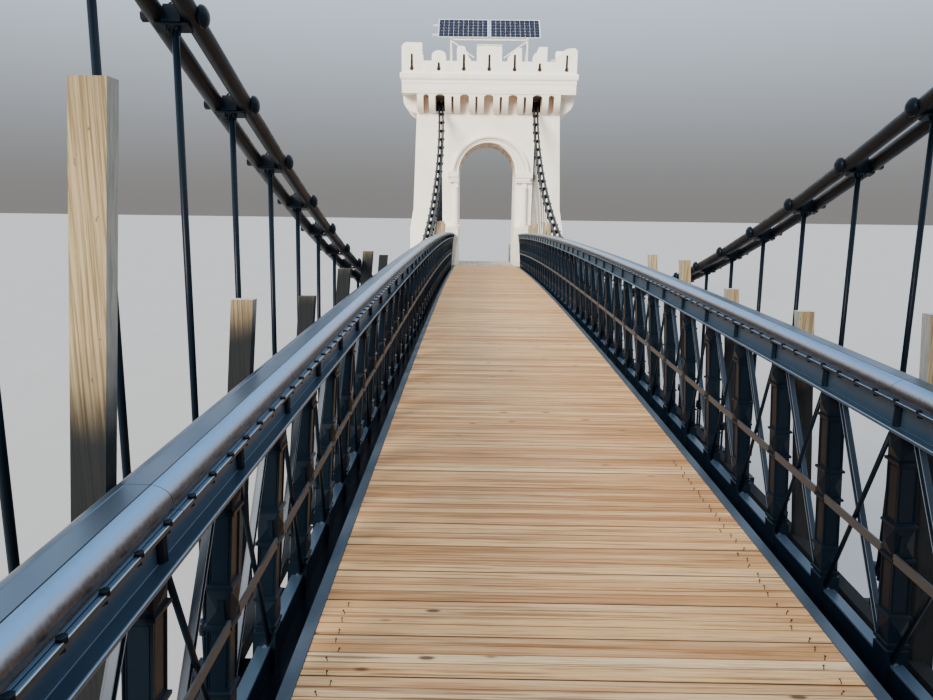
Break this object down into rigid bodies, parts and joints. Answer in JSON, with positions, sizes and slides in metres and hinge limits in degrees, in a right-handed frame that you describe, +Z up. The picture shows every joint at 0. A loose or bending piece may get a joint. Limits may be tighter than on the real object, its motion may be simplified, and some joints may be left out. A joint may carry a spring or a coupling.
{
  "type": "suspension footbridge",
  "caption": "Suspension footbridge with a timber deck, lattice railings, twin cables with hanger rods, and crenellated gate towers with arched passages.",
  "frame": {"origin": "middle of the bridge in plan, at the level underside of the abutments and anchor blocks", "axes": "+Y along the deck from the near tower to the far tower, +X to the right, +Z up"},
  "size_m": [5.84, 39.7, 11.3594],
  "materials": {
    "rubble": "weathered rubble masonry with lime mortar",
    "limewash": "cream limewashed render, worn at the edges",
    "cable_black": "smooth satin black coat",
    "black_iron": "satin black paint over iron",
    "edge_steel": "blue-grey painted steel angle",
    "rail_cap": "graphite satin paint with a soft sheen",
    "larch": "sawn larch boards, lightly oiled, with knots and grey streaks",
    "old_timber": "grey-brown weathered planks with black overspray at the foot",
    "frame_steel": "galvanised square tube",
    "solar_cells": "dark blue cells under glass in an aluminium frame",
    "cabinet_white": "white enclosure with a light grey lid"
  },
  "bodies": {
    "root": {"abutment_near": "rubble", "abutment_far": "rubble", "tower_near_body": "limewash", "tower_near_arch_span_side": "limewash", "tower_near_arch_outer_side": "limewash", "tower_near_corbels": "limewash", "tower_near_parapet": "limewash", "tower_far_body": "limewash", "tower_far_arch_span_side": "limewash", "tower_far_arch_outer_side": "limewash", "tower_far_corbels": "limewash", "tower_far_parapet": "limewash", "cable_left": "cable_black", "cable_right": "cable_black", "saddle_near_left": "black_iron", "saddle_near_right": "black_iron", "saddle_far_left": "black_iron", "saddle_far_right": "black_iron", "backstay_near_left": "cable_black", "backstay_near_right": "cable_black", "backstay_far_left": "cable_black", "backstay_far_right": "cable_black", "anchor_block_near_left": "rubble", "anchor_block_near_right": "rubble", "anchor_block_far_left": "rubble", "anchor_block_far_right": "rubble", "deck_planking": "larch", "deck_frame": "black_iron", "deck_edge_angle_left": "edge_steel", "deck_edge_angle_right": "edge_steel", "railing_truss_left_1": "black_iron", "railing_truss_left_2": "black_iron", "railing_truss_left_3": "black_iron", "railing_truss_right_1": "black_iron", "railing_truss_right_2": "black_iron", "railing_truss_right_3": "black_iron", "rail_cap_left": "rail_cap", "rail_cap_right": "rail_cap", "timber_posts_left": "old_timber", "timber_posts_right": "old_timber", "solar_frame": "frame_steel", "solar_panel_left": "solar_cells", "solar_panel_right": "solar_cells", "cabinet": "cabinet_white"}
  },
  "joints": []
}
